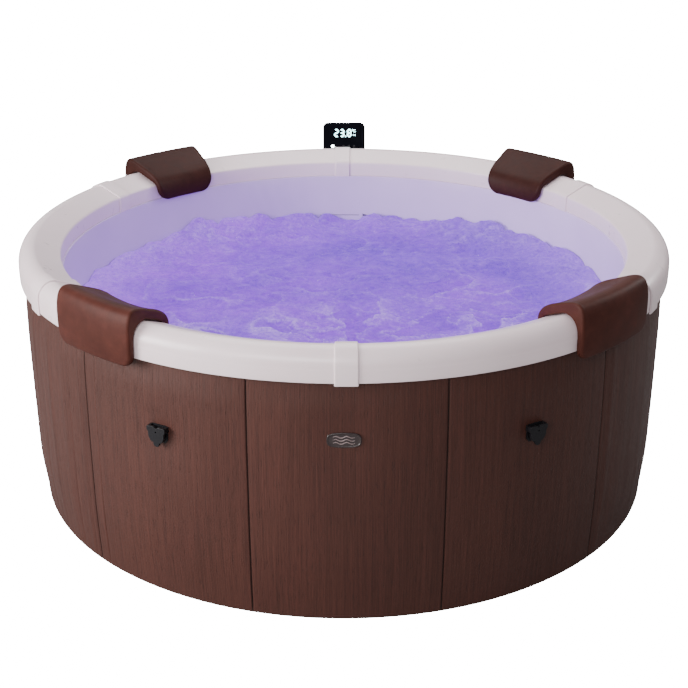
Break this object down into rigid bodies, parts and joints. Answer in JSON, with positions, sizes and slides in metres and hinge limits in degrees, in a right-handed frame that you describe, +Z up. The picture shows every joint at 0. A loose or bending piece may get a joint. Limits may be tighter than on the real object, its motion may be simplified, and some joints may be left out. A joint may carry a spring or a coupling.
{
  "type": "inflatable hot tub",
  "caption": "Round portable hot tub: wood-look padded wall, pale segmented rim rail, clip-over headrests, hung basin liner and a docked pump, heater and display unit.",
  "frame": {"origin": "on the ground at the centre of the round tub, under the mat", "axes": "+Z up, +Y towards the pump unit at the back, +X to the right seen from the front"},
  "size_m": [1.8538, 2.1801, 0.8053],
  "materials": {
    "mat_foam": "matte",
    "liner_vinyl": "satin",
    "board_foam": "matte",
    "jacket_leatherette": "satin",
    "rail_plastic": "satin",
    "sleeve_plastic": "satin",
    "headrest_leather": "satin",
    "buckle_plastic": "satin",
    "badge_plastic": "gloss",
    "fitting_plastic": "satin",
    "cap_plastic": "matte",
    "ring_vinyl": "satin",
    "lamp_lens": "gloss",
    "nut_plastic": "matte",
    "filter_plastic": "satin",
    "filter_paper": "matte",
    "unit_dark_plastic": "satin",
    "unit_shell_plastic": "satin",
    "foot_rubber": "matte",
    "screw_steel": "satin",
    "display_plastic": "satin",
    "display_glass": "gloss",
    "pump_plastic": "matte",
    "rotor_plastic": "satin",
    "pipe_plastic": "matte",
    "heater_steel": "satin",
    "board_laminate": "satin"
  },
  "bodies": {
    "tub": {"wall_board_01": "board_foam", "wall_board_02": "board_foam", "wall_board_03": "board_foam", "wall_board_04": "board_foam", "wall_board_05": "board_foam", "wall_board_06": "board_foam", "wall_board_07": "board_foam", "wall_board_08": "board_foam", "wall_board_09": "board_foam", "wall_board_10": "board_foam", "wall_board_11": "board_foam", "wall_board_12": "board_foam", "rim_rail_1": "rail_plastic", "rim_rail_2": "rail_plastic", "rim_rail_3": "rail_plastic", "rim_rail_4": "rail_plastic", "rim_rail_5": "rail_plastic", "rim_rail_6": "rail_plastic", "ground_mat": "mat_foam", "basin_liner": "liner_vinyl", "wall_jacket": "jacket_leatherette", "rail_sleeves": "sleeve_plastic", "cover_buckles": "buckle_plastic", "badge": "badge_plastic", "drain_valve": "fitting_plastic", "air_ring": "ring_vinyl", "lamp_housings": "fitting_plastic", "lamp_lenses": "lamp_lens", "suction_fitting": "fitting_plastic", "air_fitting": "fitting_plastic", "return_fitting": "fitting_plastic", "filter_housing": "filter_plastic", "unit_base": "unit_dark_plastic", "unit_feet": "foot_rubber", "unit_front_shell": "unit_shell_plastic", "unit_rear_shell": "unit_shell_plastic", "unit_top_cover": "unit_dark_plastic", "unit_screws": "screw_steel", "display_hinge_pin": "screw_steel", "pump_housing": "pump_plastic", "suction_pipe": "pipe_plastic", "heater": "heater_steel", "blower_housing": "pump_plastic", "air_pipe": "pipe_plastic", "control_board": "board_laminate", "power_gland": "nut_plastic"},
    "headrest_fl": {"headrest_front_left": "headrest_leather"},
    "headrest_fr": {"headrest_front_right": "headrest_leather"},
    "headrest_rl": {"headrest_rear_left": "headrest_leather"},
    "headrest_rr": {"headrest_rear_right": "headrest_leather"},
    "display": {"display_housing": "display_plastic", "display_glass": "display_glass"},
    "filter_lid": {"filter_cap": "filter_plastic", "filter_cartridge": "filter_paper"},
    "drain_plug": {"drain_cap": "cap_plastic"},
    "nut_suction": {"union_nut_suction": "nut_plastic"},
    "nut_return": {"union_nut_return": "nut_plastic"},
    "nut_air": {"union_nut_air": "nut_plastic"},
    "pump_impeller": {"pump_rotor": "rotor_plastic"},
    "blower_wheel": {"blower_fan": "rotor_plastic"}
  },
  "joints": [
    {"name": "headrest_fl_lift", "type": "slide", "parent": "tub", "child": "headrest_fl", "axis": [0, 0, 1], "range_m": [0, 0.2]},
    {"name": "headrest_fr_lift", "type": "slide", "parent": "tub", "child": "headrest_fr", "axis": [0, 0, 1], "range_m": [0, 0.2]},
    {"name": "headrest_rl_lift", "type": "slide", "parent": "tub", "child": "headrest_rl", "axis": [0, 0, 1], "range_m": [0, 0.2]},
    {"name": "headrest_rr_lift", "type": "slide", "parent": "tub", "child": "headrest_rr", "axis": [0, 0, 1], "range_m": [0, 0.2]},
    {"name": "display_tilt", "type": "hinge", "parent": "tub", "child": "display", "pos_m": [0, 0.946, 0.645], "axis": [1, 0, 0], "range_deg": [-66, 20]},
    {"name": "filter_lid_lift", "type": "slide", "parent": "tub", "child": "filter_lid", "axis": [0, 0, 1], "range_m": [0, 0.19]},
    {"name": "drain_cap_off", "type": "slide", "parent": "tub", "child": "drain_plug", "axis": [0.5, 0.866, 0], "range_m": [0, 0.06]},
    {"name": "nut_suction_turn", "type": "hinge", "parent": "tub", "child": "nut_suction", "pos_m": [0, 0.915, 0.17], "axis": [0, 1, 0], "range_deg": [0, 540]},
    {"name": "nut_return_turn", "type": "hinge", "parent": "tub", "child": "nut_return", "pos_m": [0.038, 0.915, 0.29], "axis": [0, 1, 0], "range_deg": [0, 540]},
    {"name": "nut_air_turn", "type": "hinge", "parent": "tub", "child": "nut_air", "pos_m": [0, 0.915, 0.096], "axis": [0, 1, 0], "range_deg": [0, 540]},
    {"name": "pump_spin", "type": "hinge", "parent": "tub", "child": "pump_impeller", "pos_m": [0, 1.03, 0.17], "axis": [0, 1, 0], "continuous": true},
    {"name": "blower_spin", "type": "hinge", "parent": "tub", "child": "blower_wheel", "pos_m": [-0.062, 1.12, 0.47], "axis": [0, 1, 0], "continuous": true}
  ]
}
